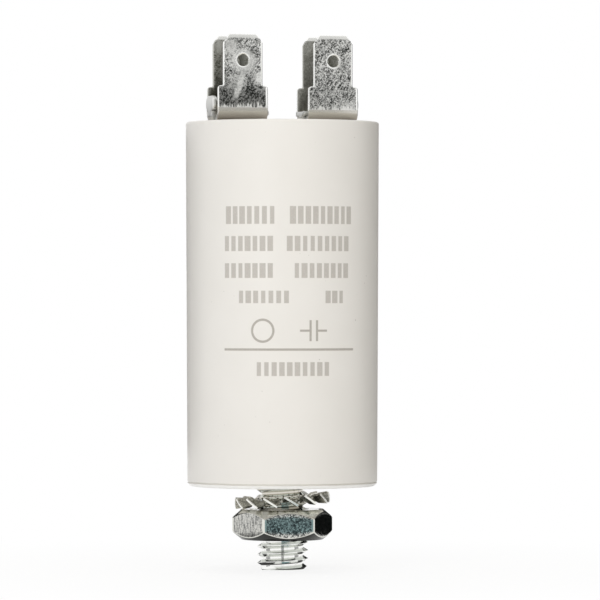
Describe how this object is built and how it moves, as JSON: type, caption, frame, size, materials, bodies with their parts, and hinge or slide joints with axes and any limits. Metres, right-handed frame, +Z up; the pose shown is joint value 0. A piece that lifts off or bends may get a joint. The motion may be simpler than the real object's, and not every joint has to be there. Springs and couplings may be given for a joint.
{
  "type": "motor-run capacitor",
  "caption": "Film capacitor in a round moulded plastic can, with twin push-on blade terminals on its lid and a threaded stud, toothed lock washer and hexagon nut below.",
  "frame": {"origin": "centre of the can's seat, the flat ring under its base", "axes": "+Z up along the can's axis, through the lid; +X from the left terminal to the right terminal; the print faces -Y"},
  "size_m": [0.03, 0.03, 0.083],
  "materials": {
    "can_plastic": "satin moulded ivory plastic with grey print",
    "lid_plastic": "matte moulded ivory plastic",
    "tinned_steel": "mottled hot-tinned sheet",
    "rivet_brass": "plain drawn brass",
    "core_plastic": "natural extruded tube",
    "metallised_film": "wound metallised film",
    "sprayed_zinc": "rough sprayed metal",
    "tinned_copper": "tinned copper wire",
    "sleeve_plastic": "insulating sleeve",
    "resin": "cast resin",
    "stud_steel": "bright plated thread",
    "washer_steel": "plated spring steel",
    "nut_steel": "speckled zinc plate"
  },
  "bodies": {
    "root": {"can": "can_plastic", "lid": "lid_plastic", "left_terminal": "tinned_steel", "right_terminal": "tinned_steel", "left_rivet": "rivet_brass", "right_rivet": "rivet_brass", "winding_core": "core_plastic", "film_winding": "metallised_film", "upper_metal_spray": "sprayed_zinc", "lower_metal_spray": "sprayed_zinc", "short_lead": "tinned_copper", "long_lead": "tinned_copper", "lead_sleeve": "sleeve_plastic", "potting_resin": "resin", "mounting_stud": "stud_steel", "lock_washer": "washer_steel", "hex_nut": "nut_steel"}
  },
  "joints": []
}
